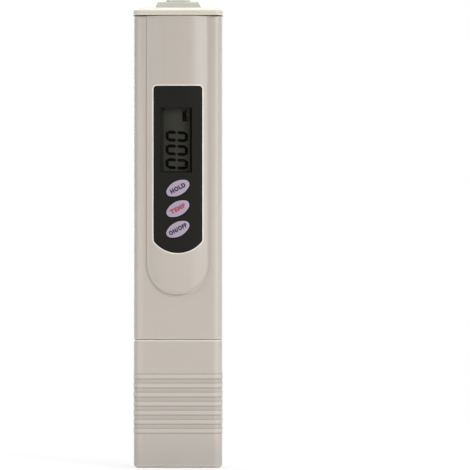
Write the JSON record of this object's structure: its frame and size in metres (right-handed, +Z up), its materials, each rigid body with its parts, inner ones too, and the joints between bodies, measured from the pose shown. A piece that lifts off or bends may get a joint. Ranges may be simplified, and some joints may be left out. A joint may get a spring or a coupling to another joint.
{
  "type": "tds meter pen",
  "caption": "Flat pocket meter for dissolved salts in water: display and slanted oval keys in a black panel, tapered clip, sprung battery cap latch, ribbed pull-off cover over forked probe.",
  "frame": {"origin": "middle of the probe cover's flat base, in the middle of the body's width and of its plain depth", "axes": "+Z up along the pen towards the battery cap, -Y out of the display, +Y towards the clip, +X to the right of someone who reads the display"},
  "size_m": [0.0294, 0.0194, 0.154],
  "materials": {
    "body_plastic": "warm light grey ABS, satin",
    "panel_black": "near-black, fine satin",
    "window_clear": "clear acrylic",
    "lcd_glass": "clear glass",
    "lcd_reflector": "dark grey-green foil",
    "frame_plastic": "white, matt",
    "strip_rubber": "soft, matt",
    "board_green": "green solder resist, semi-gloss",
    "resin_black": "black resin, glossy",
    "chip_plastic": "black, matt",
    "can_metal": "satin metal",
    "component_ceramic": "ceramic, matt",
    "trimmer_blue": "blue, matt",
    "rotor_brown": "dark brown, matt",
    "contact_metal": "nickel plated",
    "cell_steel": "polished steel",
    "probe_plastic": "white ABS, satin",
    "pin_metal": "titanium, satin",
    "sensor_steel": "stainless steel, satin",
    "lead_copper": "tinned copper",
    "key_plastic": "lavender, satin",
    "switch_plastic": "black, matt",
    "plunger_plastic": "white, matt"
  },
  "bodies": {
    "housing": {"housing": "body_plastic", "faceplate": "panel_black", "display_window": "window_clear", "lcd_front_glass": "lcd_glass", "lcd_rear_glass": "lcd_glass", "lcd_reflector": "lcd_reflector", "lcd_frame": "frame_plastic", "contact_strip_left": "strip_rubber", "contact_strip_right": "strip_rubber", "circuit_board": "board_green", "main_chip": "resin_black", "amplifier_chip": "chip_plastic", "crystal": "can_metal", "small_components": "component_ceramic", "trimmer_body": "trimmer_blue", "battery_contact_left": "contact_metal", "battery_contact_right": "contact_metal", "probe_block": "probe_plastic", "probe_pin_left": "pin_metal", "probe_pin_right": "pin_metal", "temperature_sensor": "sensor_steel", "sensor_leads": "lead_copper", "hold_switch_body": "switch_plastic", "temp_switch_body": "switch_plastic", "power_switch_body": "switch_plastic"},
    "battery_cap": {"battery_cap": "body_plastic", "cell_left": "cell_steel", "cell_right": "cell_steel", "tray_bridge_contact": "contact_metal"},
    "latch_tongue": {"latch_tongue": "body_plastic"},
    "probe_cover": {"probe_cover": "body_plastic"},
    "clip": {"clip": "body_plastic"},
    "trimmer_rotor": {"trimmer_rotor": "rotor_brown"},
    "hold_key": {"hold_key": "key_plastic", "hold_switch_plunger": "plunger_plastic"},
    "temp_key": {"temp_key": "key_plastic", "temp_switch_plunger": "plunger_plastic"},
    "power_key": {"power_key": "key_plastic", "power_switch_plunger": "plunger_plastic"}
  },
  "joints": [
    {"name": "battery_cap_slide", "type": "slide", "parent": "housing", "child": "battery_cap", "axis": [0, 0, 1], "range_m": [0, 0.022], "deforming": ["latch_tongue"]},
    {"name": "latch_press", "type": "hinge", "parent": "battery_cap", "child": "latch_tongue", "pos_m": [0, 0.0037, 0.1486], "axis": [-1, 0, 0], "range_deg": [0, 6], "stiffness_Nm_per_rad": 0.25},
    {"name": "probe_cover_slide", "type": "slide", "parent": "housing", "child": "probe_cover", "axis": [0, 0, -1], "range_m": [0, 0.036]},
    {"name": "clip_flex", "type": "hinge", "parent": "housing", "child": "clip", "pos_m": [0, 0.0066, 0.12], "axis": [1, 0, 0], "range_deg": [0, 4.5], "stiffness_Nm_per_rad": 2.5},
    {"name": "calibration_turn", "type": "hinge", "parent": "housing", "child": "trimmer_rotor", "pos_m": [0, 0.002, 0.1257], "axis": [0, 1, 0], "range_deg": [-130, 130]},
    {"name": "hold_key_press", "type": "slide", "parent": "housing", "child": "hold_key", "axis": [0, 1, 0], "range_m": [0, 0.0003], "stiffness_N_per_m": 4000},
    {"name": "temp_key_press", "type": "slide", "parent": "housing", "child": "temp_key", "axis": [0, 1, 0], "range_m": [0, 0.0003], "stiffness_N_per_m": 4000},
    {"name": "power_key_press", "type": "slide", "parent": "housing", "child": "power_key", "axis": [0, 1, 0], "range_m": [0, 0.0003], "stiffness_N_per_m": 4000}
  ]
}
